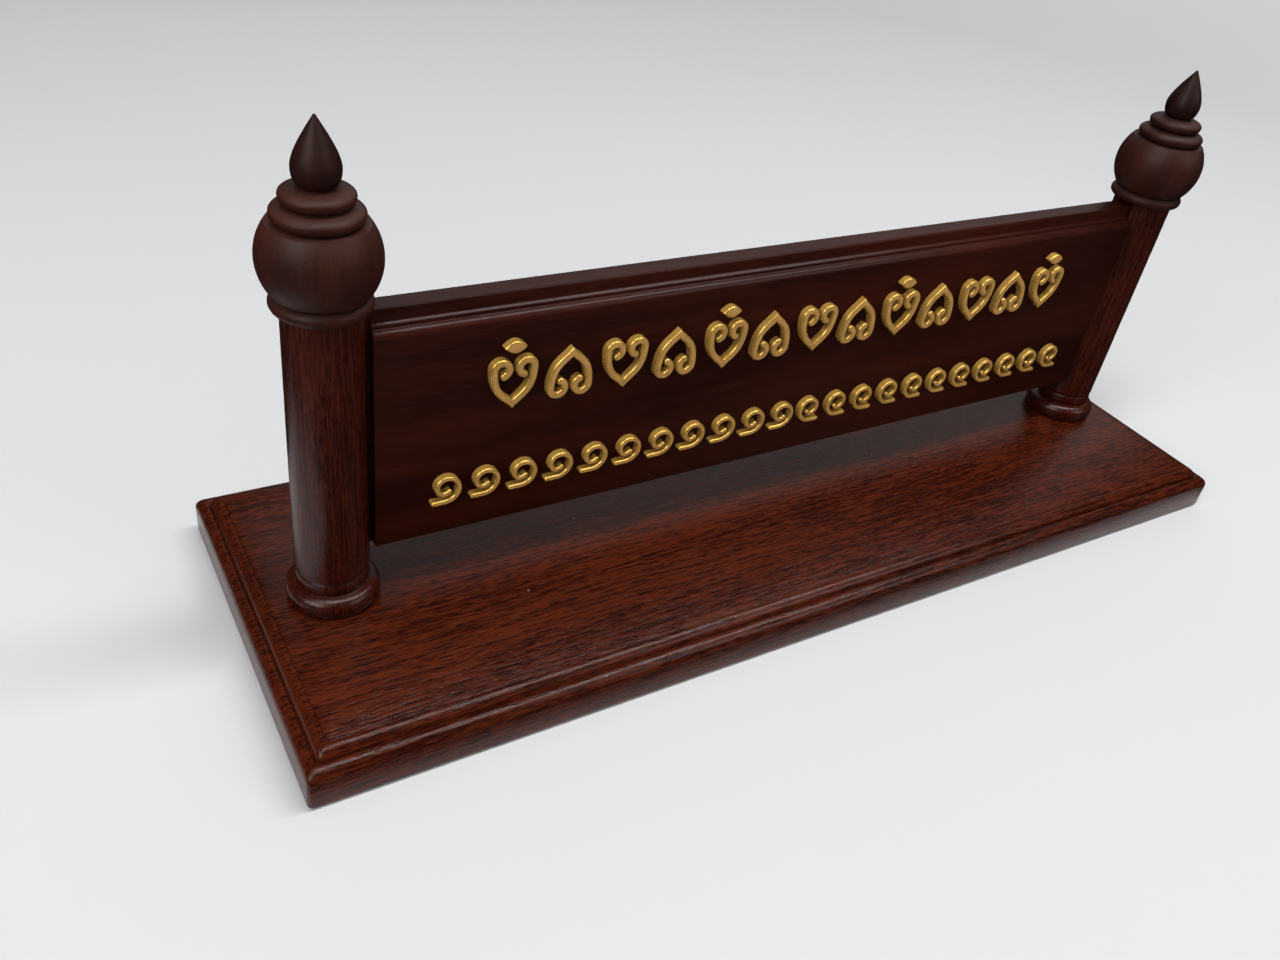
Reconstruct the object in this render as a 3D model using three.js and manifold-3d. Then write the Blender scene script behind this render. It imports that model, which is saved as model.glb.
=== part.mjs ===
// A desk name stand of stained wood: a moulded base board, two turned posts with turned finials, and a
// name board held upright between the posts. Two rows of gilt scroll ornaments lie on the board's face.
// Millimetres, +Z up. The origin is the centre of the base's underside, +X runs along the stand, and the
// ornamented face looks towards -Y.

import * as THREE from "three";
import { mergeVertices } from "three/addons/utils/BufferGeometryUtils.js";
import Module from "manifold-3d";

const wasm = await Module();
wasm.setup();

// ---- driving dimensions ----

const FIT = 0.3; // clearance between a piece and the hole, groove or shoulder that takes it

const BASE_LENGTH = 381;
const BASE_WIDTH = 127;
const BASE_THICKNESS = 17;
const BASE_FOOT_ROUND = 1.6; // radius of the lower arris
const BEAD_ROUND = 3.2; // radius of the bead along the outer edge
const QUIRK_INSET = 4.0; // from the edge in to the groove above the bead
const QUIRK_DEPTH = 0.6;
const OVOLO_ROUND = 3.3; // quarter round that climbs from the groove to the panel
const PANEL_STEP = 0.5; // sharp rise from the quarter round to the flat panel

const POST_INSET = 27.4; // from the base's end in to a post's axis
const SHAFT_RADIUS = 11;
const SHAFT_TAPER = 0.3; // radius lost between the ring and the finial
const FOOT_BULGE = 3.1; // how far the half-round foot stands out past the shaft
const FOOT_HEIGHT = 6.6;
const RING_HEIGHT = 3.4; // the thin ring between the foot and the shaft
const POST_GROOVE = 1.0; // depth and width of the turned grooves either side of that ring
const TENON_RADIUS = 5;
const TENON_LENGTH = 9;

const BOARD_LIFT = 18.6; // from the base's panel up to the name board
const BOARD_HEIGHT = 78;
const BOARD_THICKNESS = 13;
const BOARD_ARRIS = 0.7; // small rounding of the board's edges
const FASCIA_HEIGHT = 4.2; // plain band along the board's top
const LEDGE = 1.0; // how far the flat ledge under it steps out
const LEDGE_DROP = 1.4; // from that ledge down to the quarter round
const BOARD_OVOLO = 2.2; // radius of the quarter round that runs out to the board's face
const TOP_GAP = 0.8; // between the board's top and the finial above

const PIN_RADIUS = 3;
const PIN_LENGTH = 10;
const PIN_WALL = 1.4; // wood left between the pin's hole and the groove for the board
const HOLE_RELIEF = 1; // how much deeper a blind hole is than the piece in it

const COLLAR_HEIGHT = 4.2;
const COLLAR_BULGE = 2.3;
const BALL_RADIUS = 15.8;
const BALL_RISE = 14.4; // from the finial's foot up to the ball's centre
const BALL_BELOW = 9.3; // how far the ball reaches below its centre
const BALL_ABOVE = 9.2; // and above it
const BALL_NECK_RADIUS = 10.8;
const LOWER_DISC_RADIUS = 11.7;
const UPPER_DISC_RADIUS = 9.4;
const DISC_HEIGHT = 4.1;
const DISC_UNDERCUT = 1.6; // depth of the groove under each disc
const GROOVE_HEIGHT = 0.4; // height of the finial's grooves
const BUD_RADIUS = 6.1;
const BUD_FOOT_RADIUS = 4.4;
const BUD_LOWER = 4.1; // height of the bud's round lower half
const BUD_UPPER = 12.7; // height of its drawn-out point
const BUD_TIP_RADIUS = 0.6;
const BUD_SHOULDER = 0.27; // share of the point's height over which it keeps the bud's fullness
const BUD_HOLLOW = 0.71; // share of its height, measured up, where its neck draws in most
const BUD_NECK = 0.4; // share of the bud's radius left in that neck

const SCREW_RADIUS = 1.75;
const SCREW_HEAD_RADIUS = 3.6;
const SCREW_HEAD_HEIGHT = 2.4;
const SCREW_LENGTH = 24;
const SCREW_POINT = 4;
const SCREW_SINK = 0.6; // how far the head lies above the base's underside
const RECESS_SPAN = 3.6;
const RECESS_WIDTH = 0.8;
const RECESS_DEPTH = 1.1;

const ROW_MARGIN = 33; // from the board's end in to the upper row
const LOWER_ROW_MARGIN = 16;
const HEART_COUNT = 13;
const HEART_GAP = 3.6;
const HEART_HEIGHT = 16.4;
const HEART_STROKE = 2.3;
const HEART_EYE_GAP = 0.9; // between the two curls of one heart scroll
const HEART_FOOT_SPREAD = 0.4; // the flank leaves the foot towards this share of the half width
const HEART_FOOT_RISE = 0.2; // and this share of the height
const HEART_FLANK_RISE = 0.25; // share of the height where the flank turns upright
const HEART_CURL_TURN = 250; // degrees
const WAVE_COUNT = 22;
const WAVE_GAP = 2.6;
const WAVE_HEIGHT = 10;
const WAVE_STROKE = 1.6;
const WAVE_TURN = 400; // degrees that the coil winds through
const WAVE_EYE = 0.34; // radius at the coil's inner end, as a share of its outer radius
const LEAF_EVERY = 4; // a leaf lies over the first heart scroll and over every fourth one after it
const LEAF_LENGTH = 7;
const LEAF_HEIGHT = 4;
const ORNAMENT_RELIEF = 2.5;

// Shares of the free height on the board's field, from its lower edge to the lower ledge.
const BELOW_LOWER_ROW = 0.31;
const BETWEEN_ROWS = 0.52;
const ABOVE_UPPER_ROW = 0.04;

const TURNED_SIDES = 24;
const SCREW_SIDES = 16;
const QUARTER_STEPS = 3; // straight pieces in a quarter round
const CURVE_STEPS = 6; // straight pieces in a longer curve
const COIL_STEPS = 11; // straight pieces in a wave scroll's coil
const CUT_OVERRUN = 1; // how far a cutting solid runs past the face that it opens

// ---- places worked out from them ----

const postX = BASE_LENGTH / 2 - POST_INSET;
const boardBottom = BASE_THICKNESS + BOARD_LIFT;
const boardTop = boardBottom + BOARD_HEIGHT;
const fieldTop = boardTop - FASCIA_HEIGHT - LEDGE_DROP - BOARD_OVOLO;
const shaftTop = boardTop + TOP_GAP;
const shoulderX = postX - SHAFT_RADIUS - FIT; // the board's square ends stand just clear of the shafts
const tongueThickness = BOARD_THICKNESS - 2 * (LEDGE + BOARD_OVOLO + FIT);
const grooveFloor = PIN_RADIUS + FIT + PIN_WALL; // from the post's axis
const tongueX = postX - grooveFloor - FIT;

// ---- finishes ----

const finish = (color, roughness, metalness) => ({ color, roughness, metalness });
const BASE_WOOD = finish(0x54251a, 0.3, 0);
const POST_WOOD = finish(0x4a2016, 0.35, 0);
const FINIAL_WOOD = finish(0x5a3228, 0.5, 0);
const BOARD_WOOD = finish(0x2e0c06, 0.28, 0);
const GILT = finish(0xc99a35, 0.35, 0.8);
const STEEL = finish(0x9a9a98, 0.4, 1);

const stand = new THREE.Group();

function add(name, geometry, look) {
  const mesh = new THREE.Mesh(geometry, new THREE.MeshStandardMaterial(look));
  mesh.name = name;
  stand.add(mesh);
}

// ---- solids ----

const point = (x, y) => new THREE.Vector2(x, y);

// Points along part of an ellipse, between two angles in degrees.
function arc(x, y, radiusX, radiusY, from, to, steps = QUARTER_STEPS) {
  const turn = THREE.MathUtils.degToRad;
  const curve = new THREE.EllipseCurve(x, y, radiusX, radiusY, turn(from), turn(to), to < from);
  return curve.getPoints(steps);
}

// A bead: a half round from (lower, z0) out to its crown and back to (upper, z1).
function bead(lower, crown, upper, z0, z1) {
  const middle = (z0 + z1) / 2;
  const half = (z1 - z0) / 2;
  return [
    ...arc(lower, middle, crown - lower, half, -90, 0),
    ...arc(upper, middle, crown - upper, half, 0, 90).slice(1),
  ];
}

// A turned solid about a vertical axis. The profile runs from the axis at the bottom to the axis at the top.
function turned(profile, x = 0, sides = TURNED_SIDES) {
  return new THREE.LatheGeometry(profile, sides).rotateX(Math.PI / 2).translate(x, 0, 0);
}

// A box from its lowest and highest corners.
function block(x0, y0, z0, x1, y1, z1) {
  const box = new THREE.BoxGeometry(x1 - x0, y1 - y0, z1 - z0);
  return box.translate((x0 + x1) / 2, (y0 + y1) / 2, (z0 + z1) / 2);
}

function solidOf(geometry) {
  const plain = geometry.index ? geometry.toNonIndexed() : geometry.clone();
  plain.deleteAttribute("normal");
  plain.deleteAttribute("uv");
  const merged = mergeVertices(plain, 1e-4);
  const triangles = [];
  for (let i = 0; i < merged.index.count; i += 3) {
    const [a, b, c] = merged.index.array.slice(i, i + 3);
    if (a !== b && b !== c && a !== c) triangles.push(a, b, c);
  }
  const mesh = new wasm.Mesh({
    numProp: 3,
    vertProperties: merged.attributes.position.array,
    triVerts: new Uint32Array(triangles),
  });
  return new wasm.Manifold(mesh);
}

function geometryOf(solid) {
  const mesh = solid.getMesh();
  const geometry = new THREE.BufferGeometry();
  geometry.setAttribute("position", new THREE.BufferAttribute(mesh.vertProperties, 3));
  geometry.setIndex(new THREE.BufferAttribute(mesh.triVerts, 1));
  return geometry;
}

const cut = (body, ...tools) =>
  geometryOf(tools.reduce((left, tool) => left.subtract(solidOf(tool)), solidOf(body)));
const join = (...pieces) =>
  geometryOf(pieces.map(solidOf).reduce((whole, piece) => whole.add(piece)));

// ---- base board ----

// A rectangular slab whose four edges carry one profile with mitred corners. The profile lists (inset, z)
// from the middle of the underside to the middle of the top; the slab is a square one pulled out along X.
function mouldedSlab(profile, length, width) {
  const corners = profile.map(([inset, z]) => point(Math.SQRT2 * (width / 2 - inset), z));
  const square = new THREE.LatheGeometry(corners, 4, Math.PI / 4).rotateX(Math.PI / 2);
  const place = square.attributes.position;
  for (let i = 0; i < place.count; i++) {
    const x = place.getX(i);
    if (Math.abs(x) > FIT) place.setX(i, x + (Math.sign(x) * (length - width)) / 2);
  }
  return square;
}

function baseProfile() {
  const top = BASE_THICKNESS;
  const beadTop = top - PANEL_STEP - OVOLO_ROUND + QUIRK_DEPTH;
  const inset = (p) => [-p.x, p.y];
  return [
    [BASE_WIDTH / 2, 0],
    ...arc(-BASE_FOOT_ROUND, BASE_FOOT_ROUND, BASE_FOOT_ROUND, BASE_FOOT_ROUND, -90, 0).map(inset),
    ...arc(-BEAD_ROUND, beadTop - BEAD_ROUND, BEAD_ROUND, BEAD_ROUND, 0, 90).map(inset),
    [QUIRK_INSET, beadTop - QUIRK_DEPTH],
    ...arc(-QUIRK_INSET - OVOLO_ROUND, top - PANEL_STEP - OVOLO_ROUND, OVOLO_ROUND, OVOLO_ROUND, 0, 90)
      .slice(1)
      .map(inset),
    [QUIRK_INSET + OVOLO_ROUND + PANEL_STEP, top - PANEL_STEP],
    [QUIRK_INSET + OVOLO_ROUND + PANEL_STEP, top],
    [BASE_WIDTH / 2, top],
  ];
}

// What a post needs cut through the base: a countersink and clearance hole for the screw, and the
// round mortise for the tenon above it.
function postSeat(x) {
  const headRadius = SCREW_HEAD_RADIUS + FIT;
  const holeRadius = SCREW_RADIUS + FIT;
  const mortiseRadius = TENON_RADIUS + FIT;
  const mortiseFloor = BASE_THICKNESS - TENON_LENGTH - FIT;
  const profile = [
    point(0, -CUT_OVERRUN),
    point(headRadius, -CUT_OVERRUN),
    point(headRadius, SCREW_SINK),
    point(holeRadius, SCREW_SINK + SCREW_HEAD_HEIGHT),
    point(holeRadius, mortiseFloor),
    point(mortiseRadius, mortiseFloor),
    point(mortiseRadius, BASE_THICKNESS + CUT_OVERRUN),
    point(0, BASE_THICKNESS + CUT_OVERRUN),
  ];
  return turned(profile, x, SCREW_SIDES);
}

function baseBoard() {
  const slab = mouldedSlab(baseProfile(), BASE_LENGTH, BASE_WIDTH);
  add("base_board", cut(slab, postSeat(-postX), postSeat(postX)), BASE_WOOD);
}

// ---- posts ----

function postProfile() {
  const foot = BASE_THICKNESS;
  const footTop = foot + FOOT_HEIGHT;
  const ringFoot = footTop + POST_GROOVE;
  const ringTop = ringFoot + RING_HEIGHT;
  const grooveRadius = SHAFT_RADIUS - POST_GROOVE;
  return [
    point(0, foot - TENON_LENGTH),
    point(TENON_RADIUS, foot - TENON_LENGTH),
    point(TENON_RADIUS, foot),
    ...bead(SHAFT_RADIUS + FOOT_BULGE / 2, SHAFT_RADIUS + FOOT_BULGE, SHAFT_RADIUS, foot, footTop),
    point(grooveRadius, footTop + POST_GROOVE / 2),
    ...bead(SHAFT_RADIUS - POST_GROOVE / 2, SHAFT_RADIUS, SHAFT_RADIUS - POST_GROOVE / 2, ringFoot, ringTop),
    point(grooveRadius, ringTop + POST_GROOVE / 2),
    point(SHAFT_RADIUS, ringTop + POST_GROOVE),
    point(SHAFT_RADIUS - SHAFT_TAPER, shaftTop),
    point(0, shaftTop),
  ];
}

function cylinder(radius, z0, z1, x, sides = TURNED_SIDES) {
  return turned([point(0, z0), point(radius, z0), point(radius, z1), point(0, z1)], x, sides);
}

// One post; side is -1 for the left one and 1 for the right one. The groove for the board's tongue faces
// the middle of the stand and is open at the top, where the finial closes it.
function post(name, side) {
  const x = side * postX;
  const grooveHalf = tongueThickness / 2 + FIT;
  const near = x - side * grooveFloor;
  const far = x - side * (SHAFT_RADIUS + CUT_OVERRUN);
  const groove = block(
    Math.min(near, far),
    -grooveHalf,
    boardBottom - FIT,
    Math.max(near, far),
    grooveHalf,
    shaftTop + CUT_OVERRUN,
  );
  const pinHole = cylinder(PIN_RADIUS + FIT, shaftTop - PIN_LENGTH - HOLE_RELIEF, shaftTop + CUT_OVERRUN, x);
  const tenonFoot = BASE_THICKNESS - TENON_LENGTH;
  const pilotTop = SCREW_SINK + SCREW_LENGTH + HOLE_RELIEF;
  const pilot = cylinder(SCREW_RADIUS + FIT, tenonFoot - CUT_OVERRUN, pilotTop, x, SCREW_SIDES);
  add(name, cut(turned(postProfile(), x), groove, pinHole, pilot), POST_WOOD);
}

// ---- finials ----

// From the pin's end up: pin, collar, neck, ball, two stacked discs and the pointed bud.
function finialProfile() {
  const foot = shaftTop;
  const collarTop = foot + COLLAR_HEIGHT;
  const ballMiddle = foot + BALL_RISE;
  const ballTop = ballMiddle + BALL_ABOVE;
  const lowerDisc = ballTop + GROOVE_HEIGHT;
  const lowerDiscTop = lowerDisc + DISC_HEIGHT;
  const upperDisc = lowerDiscTop + GROOVE_HEIGHT;
  const upperDiscTop = upperDisc + DISC_HEIGHT;
  const budFoot = upperDiscTop + GROOVE_HEIGHT;
  const budMiddle = budFoot + BUD_LOWER;
  const budTop = budMiddle + BUD_UPPER;
  const angleAt = (height) => THREE.MathUtils.radToDeg(Math.asin(height / BALL_RADIUS));
  const lowerGroove = LOWER_DISC_RADIUS - DISC_UNDERCUT;
  const upperGroove = UPPER_DISC_RADIUS - DISC_UNDERCUT;
  const sweep = new THREE.CubicBezierCurve(
    point(BUD_RADIUS, budMiddle),
    point(BUD_RADIUS, budMiddle + BUD_UPPER * BUD_SHOULDER),
    point(BUD_RADIUS * BUD_NECK, budMiddle + BUD_UPPER * BUD_HOLLOW),
    point(BUD_TIP_RADIUS, budTop - BUD_TIP_RADIUS),
  );
  return [
    point(0, foot - PIN_LENGTH),
    point(PIN_RADIUS, foot - PIN_LENGTH),
    point(PIN_RADIUS, foot),
    ...bead(SHAFT_RADIUS, SHAFT_RADIUS + COLLAR_BULGE, SHAFT_RADIUS, foot, collarTop),
    point(BALL_NECK_RADIUS, collarTop + GROOVE_HEIGHT),
    ...arc(0, ballMiddle, BALL_RADIUS, BALL_RADIUS, -angleAt(BALL_BELOW), angleAt(BALL_ABOVE), CURVE_STEPS),
    point(lowerGroove, lowerDisc - GROOVE_HEIGHT / 2),
    ...bead(lowerGroove, LOWER_DISC_RADIUS, upperGroove, lowerDisc, lowerDiscTop),
    point(upperGroove - GROOVE_HEIGHT, upperDisc - GROOVE_HEIGHT / 2),
    ...bead(upperGroove, UPPER_DISC_RADIUS, BUD_FOOT_RADIUS, upperDisc, upperDiscTop),
    point(BUD_FOOT_RADIUS - GROOVE_HEIGHT, budFoot - GROOVE_HEIGHT / 2),
    ...arc(BUD_FOOT_RADIUS, budMiddle, BUD_RADIUS - BUD_FOOT_RADIUS, BUD_LOWER, -90, 0),
    ...sweep.getPoints(CURVE_STEPS).slice(1),
    point(0, budTop),
  ];
}

function finial(name, side) {
  add(name, turned(finialProfile(), side * postX), FINIAL_WOOD);
}

// ---- name board ----

// Half of the board's section, from the middle of its lower edge round the front to the middle of its top.
function boardHalfSection() {
  const front = BOARD_THICKNESS / 2;
  const ledgeTop = boardTop - FASCIA_HEIGHT;
  const ledgeFront = front - BOARD_OVOLO;
  const fasciaFront = ledgeFront - LEDGE;
  return [
    point(0, boardBottom),
    ...arc(front - BOARD_ARRIS, boardBottom + BOARD_ARRIS, BOARD_ARRIS, BOARD_ARRIS, -90, 0),
    ...arc(ledgeFront, fieldTop, BOARD_OVOLO, BOARD_OVOLO, 0, 90),
    point(ledgeFront, ledgeTop),
    point(fasciaFront, ledgeTop),
    ...arc(fasciaFront - BOARD_ARRIS, boardTop - BOARD_ARRIS, BOARD_ARRIS, BOARD_ARRIS, 0, 90),
    point(0, boardTop),
  ];
}

function nameBoard() {
  const half = boardHalfSection();
  const back = half
    .slice(1, -1)
    .reverse()
    .map((p) => point(-p.x, p.y));
  const outline = new THREE.Shape([...half, ...back]);
  const settings = { depth: 2 * shoulderX, bevelEnabled: false, steps: 1 };
  const panel = new THREE.ExtrudeGeometry(outline, settings)
    .translate(0, 0, -shoulderX)
    .rotateX(Math.PI / 2)
    .rotateZ(-Math.PI / 2);
  const halfTongue = tongueThickness / 2;
  const tongue = block(-tongueX, -halfTongue, boardBottom, tongueX, halfTongue, boardTop);
  add("name_board", join(panel, tongue), BOARD_WOOD);
}

// ---- screws ----

function postScrew(name, side) {
  const x = side * postX;
  const head = SCREW_SINK;
  const tip = head + SCREW_LENGTH;
  const profile = [
    point(0, head),
    point(SCREW_HEAD_RADIUS, head),
    point(SCREW_RADIUS, head + SCREW_HEAD_HEIGHT),
    point(SCREW_RADIUS, tip - SCREW_POINT),
    point(0, tip),
  ];
  const arm = RECESS_SPAN / 2;
  const half = RECESS_WIDTH / 2;
  const floor = head + RECESS_DEPTH;
  const slots = [
    block(x - arm, -half, head - CUT_OVERRUN, x + arm, half, floor),
    block(x - half, -arm, head - CUT_OVERRUN, x + half, arm, floor),
  ];
  add(name, cut(turned(profile, x, SCREW_SIDES), ...slots), STEEL);
}

// ---- gilt ornaments ----

// The closed outline of a band of one width along a centre line, mitred at its bends, with round ends.
function bandOutline(line, width) {
  const half = width / 2;
  const last = line.length - 1;
  const heading = (i) => line[i + 1].clone().sub(line[i]).normalize();
  const sides = [[], []];
  line.forEach((here, i) => {
    const out = heading(Math.min(i, last - 1));
    const along = heading(Math.max(i - 1, 0)).add(out).normalize();
    const across = along.clone().multiplyScalar(half / along.dot(out));
    sides[0].push(point(here.x + across.y, here.y - across.x));
    sides[1].unshift(point(here.x - across.y, here.y + across.x));
  });
  const cap = (end, along) => {
    const slant = half * Math.SQRT1_2;
    return [
      point(end.x + (along.x + along.y) * slant, end.y + (along.y - along.x) * slant),
      point(end.x + (along.x - along.y) * slant, end.y + (along.y + along.x) * slant),
    ];
  };
  const lastCap = cap(line[last], heading(last - 1));
  const firstCap = cap(line[0], heading(0).negate());
  return [...sides[0], ...lastCap, ...sides[1], ...firstCap];
}

// The centre line of a heart scroll's right half, from its foot at (0, 0) up and over into its curl.
function heartHalf(width, height, stroke) {
  const side = (width - stroke) / 2;
  const inner = (stroke + HEART_EYE_GAP) / 2;
  const curl = (side - inner) / 2;
  const top = height - stroke;
  const flank = new THREE.CubicBezierCurve(
    point(0, 0),
    point(side * HEART_FOOT_SPREAD, top * HEART_FOOT_RISE),
    point(side, top * HEART_FLANK_RISE),
    point(side, top - curl),
  );
  const turn = arc(side - curl, top - curl, curl, curl, 0, HEART_CURL_TURN, CURVE_STEPS);
  return [...flank.getPoints(CURVE_STEPS - 1), ...turn.slice(1)];
}

function heartLine(width, height, stroke) {
  const right = heartHalf(width, height, stroke);
  const left = right
    .slice(1)
    .reverse()
    .map((p) => point(-p.x, p.y));
  const middle = (height - stroke) / 2;
  return [...left, ...right].map((p) => point(p.x, p.y - middle));
}

// The centre line of a wave scroll: a straight foot, then a coil that winds inwards from its lowest point.
function waveLine(width, height, stroke) {
  const tighten = ((1 - WAVE_EYE) * 180) / WAVE_TURN; // share of the radius lost from the bottom to the top
  const outer = (height - stroke) / (2 - tighten);
  const coil = [];
  for (let i = 0; i <= COIL_STEPS; i++) {
    const share = i / COIL_STEPS;
    const angle = THREE.MathUtils.degToRad(share * WAVE_TURN - 90);
    const radius = THREE.MathUtils.lerp(outer, outer * WAVE_EYE, share);
    coil.push(point(radius * Math.cos(angle), radius * Math.sin(angle)));
  }
  const right = Math.max(...coil.map((p) => p.x));
  const line = [point(right - (width - stroke), -outer), ...coil];
  const middle = new THREE.Box2().setFromPoints(line).getCenter(point(0, 0));
  return line.map((p) => p.sub(middle));
}

// A pointed leaf on its side.
function leafOutline(length, height) {
  const reach = length / 2;
  const upper = new THREE.QuadraticBezierCurve(point(reach, 0), point(0, height), point(-reach, 0));
  const lower = new THREE.QuadraticBezierCurve(point(-reach, 0), point(0, -height), point(reach, 0));
  return [...upper.getPoints(CURVE_STEPS).slice(0, -1), ...lower.getPoints(CURVE_STEPS).slice(0, -1)];
}

// An ornament cut from sheet, lying on the board's front face with its middle at x, z. A flip of -1 mirrors
// its outline left to right or top to bottom.
function ornament(name, outline, x, z, flipX = 1, flipZ = 1) {
  const flipped = outline.map((p) => point(p.x * flipX, p.y * flipZ));
  const settings = { depth: ORNAMENT_RELIEF, bevelEnabled: false, steps: 1 };
  const sheet = new THREE.ExtrudeGeometry(new THREE.Shape(flipped), settings)
    .rotateX(Math.PI / 2)
    .translate(x, -BOARD_THICKNESS / 2, z);
  add(name, sheet, GILT);
}

// Pieces of one width side by side, centred on the board, from end margin to end margin.
function row(count, margin, gap, place) {
  const span = 2 * (shoulderX - margin);
  const width = (span - (count - 1) * gap) / count;
  for (let i = 0; i < count; i++) {
    const x = -span / 2 + width / 2 + i * (width + gap);
    place(i + 1, x, width);
  }
}

function ornaments() {
  const free = fieldTop - boardBottom - WAVE_HEIGHT - HEART_HEIGHT - LEAF_HEIGHT;
  const waveZ = boardBottom + free * BELOW_LOWER_ROW + WAVE_HEIGHT / 2;
  const heartZ = waveZ + WAVE_HEIGHT / 2 + free * BETWEEN_ROWS + HEART_HEIGHT / 2;
  const leafZ = heartZ + HEART_HEIGHT / 2 + free * ABOVE_UPPER_ROW + LEAF_HEIGHT / 2;
  row(HEART_COUNT, ROW_MARGIN, HEART_GAP, (i, x, width) => {
    const outline = bandOutline(heartLine(width, HEART_HEIGHT, HEART_STROKE), HEART_STROKE);
    ornament(`heart_scroll_${i}`, outline, x, heartZ, 1, i % 2 === 0 ? -1 : 1);
    const leaf = (i - 1) / LEAF_EVERY + 1;
    if (Number.isInteger(leaf)) ornament(`leaf_${leaf}`, leafOutline(LEAF_LENGTH, LEAF_HEIGHT), x, leafZ);
  });
  row(WAVE_COUNT, LOWER_ROW_MARGIN, WAVE_GAP, (i, x, width) => {
    const outline = bandOutline(waveLine(width, WAVE_HEIGHT, WAVE_STROKE), WAVE_STROKE);
    ornament(`wave_scroll_${i}`, outline, x, waveZ, x > 0 ? -1 : 1);
  });
}

baseBoard();
for (const [side, word] of [
  [-1, "left"],
  [1, "right"],
]) {
  post(`${word}_post`, side);
  finial(`${word}_finial`, side);
  postScrew(`${word}_post_screw`, side);
}
nameBoard();
ornaments();

export default stand;
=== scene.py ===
"""Desk name stand: its stained wood, gilt ornament and screws, modelled around the CAD frame."""

import math

import bmesh
import bpy
from bpy.props import FloatProperty, FloatVectorProperty, IntProperty, PointerProperty
from bpy.types import Operator, Panel, PropertyGroup
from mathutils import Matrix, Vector


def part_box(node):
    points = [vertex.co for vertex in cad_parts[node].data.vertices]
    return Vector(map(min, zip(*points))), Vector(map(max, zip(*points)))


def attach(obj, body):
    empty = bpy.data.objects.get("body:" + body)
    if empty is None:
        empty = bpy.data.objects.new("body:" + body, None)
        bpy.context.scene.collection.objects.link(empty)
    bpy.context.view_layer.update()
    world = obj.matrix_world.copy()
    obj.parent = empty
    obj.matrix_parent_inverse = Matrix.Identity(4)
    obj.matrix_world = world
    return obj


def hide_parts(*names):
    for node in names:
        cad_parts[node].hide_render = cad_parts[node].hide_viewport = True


bl_info = {
    "name": "Desk Name Stand",
    "version": (1, 0, 0),
    "blender": (4, 5, 0),
    "location": "3D View > Sidebar > Name Stand",
    "description": "A stained wood name stand with turned posts and gilt scroll ornament",
    "category": "Add Mesh",
}

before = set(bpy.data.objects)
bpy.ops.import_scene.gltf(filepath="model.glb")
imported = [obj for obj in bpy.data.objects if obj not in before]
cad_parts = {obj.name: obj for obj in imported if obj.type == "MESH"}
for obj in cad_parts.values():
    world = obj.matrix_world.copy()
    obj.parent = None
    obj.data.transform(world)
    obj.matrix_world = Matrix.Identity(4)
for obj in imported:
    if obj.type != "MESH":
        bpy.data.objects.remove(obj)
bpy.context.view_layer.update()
BASE_LOW, BASE_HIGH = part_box("base_board")
POST_LOW, POST_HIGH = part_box("left_post")
FINIAL_LOW, FINIAL_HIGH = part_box("left_finial")
BOARD_LOW, BOARD_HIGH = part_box("name_board")
SCREW_LOW, SCREW_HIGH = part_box("left_post_screw")
POST_X = (POST_LOW.x + POST_HIGH.x) / 2

OVERRUN = 0.001  # how far a cutter reaches past what it cuts, and a blind hole past its pin
LEVEL = (0, 0, 0)  # grain along the stand
UPRIGHT = (0, math.radians(90), 0)  # grain up a turned piece
# pale colour of the dust specks and of the painted sheen on the finials
DUST_AND_SHEEN_COLOUR = (0.5, 0.47, 0.43, 1)
AIR_COLOUR = (0.87, 0.87, 0.88, 1)
SOFTBOXES = (  # name, place, target, width, height, watts
    ("overhead_strip", (0.2, -0.2, 1.4), (0.2, -0.2, 0), 1.8, 0.2, 16.5),
    ("rear_softbox", (0.95, 1.3, 1.2), (0, 0, 0), 2.4, 1.4, 5.2),
    ("left_softbox", (-1.2, -0.5, 0.9), (0, 0, 0.06), 0.8, 0.8, 10.0),
    ("front_softbox", (0.9, -1.25, 0.85), (0, 0, 0.05), 0.9, 0.8, 4.4),
    ("lower_softbox", (0, 0, -0.9), (0, 0, 0), 1.0, 0.6, 5.0),
)
CAMERA_LENS = 31.07
CAMERA_PLACE = (-0.235400, -0.250729, 0.255759)
CAMERA_TURN = (0.935905, -0.132678, -0.524799)


# ---- sizes and colours a user can change ----

def length(name, description, default):
    return FloatProperty(name=name, description=description, default=default, min=0.0,
                         precision=5, subtype="DISTANCE", unit="LENGTH")


def share(name, description, default):
    return FloatProperty(name=name, description=description, default=default, min=0.0, max=1.0,
                         subtype="FACTOR")


def stain(name, description, default):
    return FloatVectorProperty(name=name, description=description, default=default, min=0.0, max=1.0,
                               size=3, subtype="COLOR")


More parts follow.
